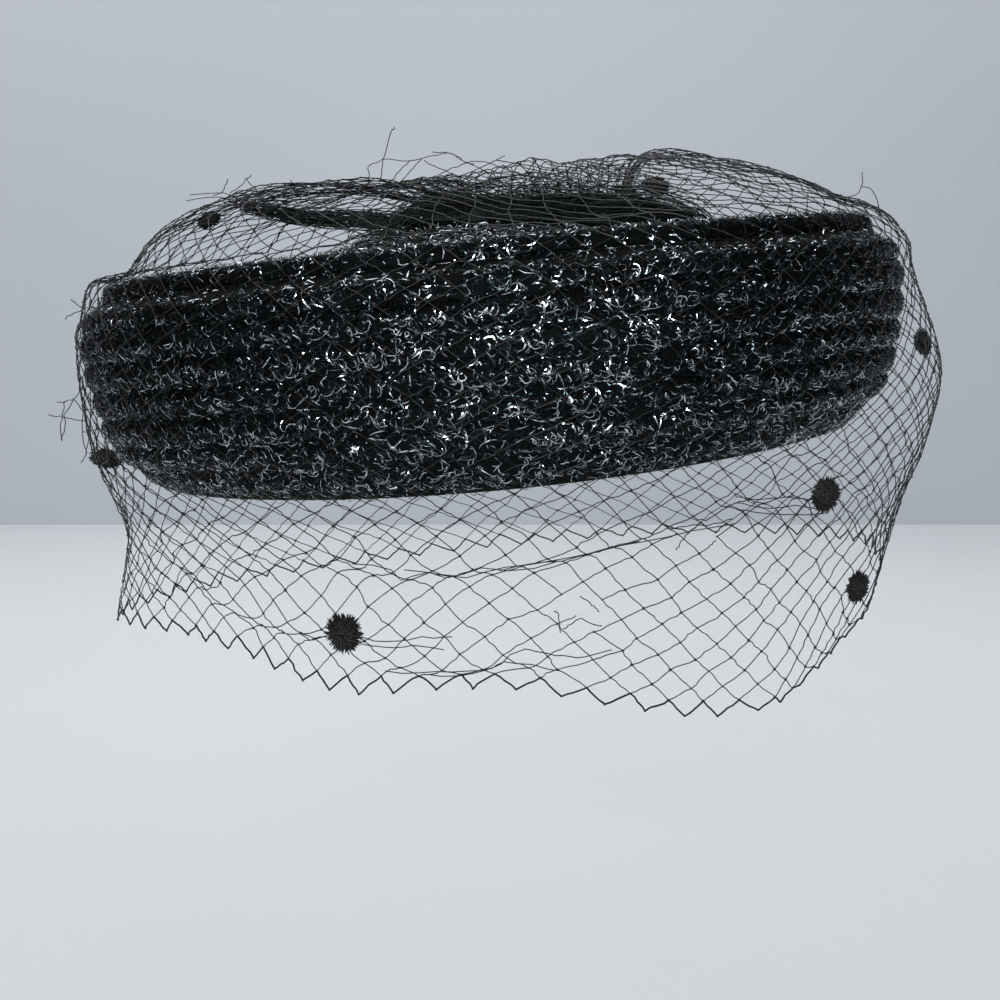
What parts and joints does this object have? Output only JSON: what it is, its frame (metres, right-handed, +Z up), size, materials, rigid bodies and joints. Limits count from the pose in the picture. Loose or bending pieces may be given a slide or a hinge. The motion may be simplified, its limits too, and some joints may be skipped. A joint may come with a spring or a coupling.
{
  "type": "pillbox hat with a dotted net veil",
  "caption": "Wide, low pillbox hat of black ribbed braid, with a stepped coil on top and a loose dotted net veil that hangs to the nose.",
  "frame": {"origin": "middle of the head opening, level with the lowest points of the rim, where a head holds the hat", "axes": "+Z up through the top of the hat, -Y towards the front, +X towards the right of someone who looks at the front"},
  "size_m": [0.2791, 0.2709, 0.162],
  "materials": {
    "side_braid": "crinkled glossy black film straw, sewn in rows",
    "top_braid": "crinkled glossy black film straw, sewn in flat rows",
    "coil_braid": "crinkled glossy black film straw, sewn in a stepped coil",
    "bunched_net": "many layers of fine black net, bunched",
    "veil_net": "fine black thread, knotted into diamonds",
    "chenille": "matt black chenille tuft"
  },
  "bodies": {
    "root": {"crown_side": "side_braid", "crown_top": "top_braid", "top_coil": "coil_braid", "veil_gather": "bunched_net", "veil": "veil_net", "veil_dot_01": "chenille", "veil_dot_02": "chenille", "veil_dot_03": "chenille", "veil_dot_04": "chenille", "veil_dot_05": "chenille", "veil_dot_06": "chenille", "veil_dot_07": "chenille", "veil_dot_08": "chenille", "veil_dot_09": "chenille", "veil_dot_10": "chenille", "veil_dot_11": "chenille", "veil_dot_12": "chenille", "veil_dot_13": "chenille"}
  },
  "joints": []
}
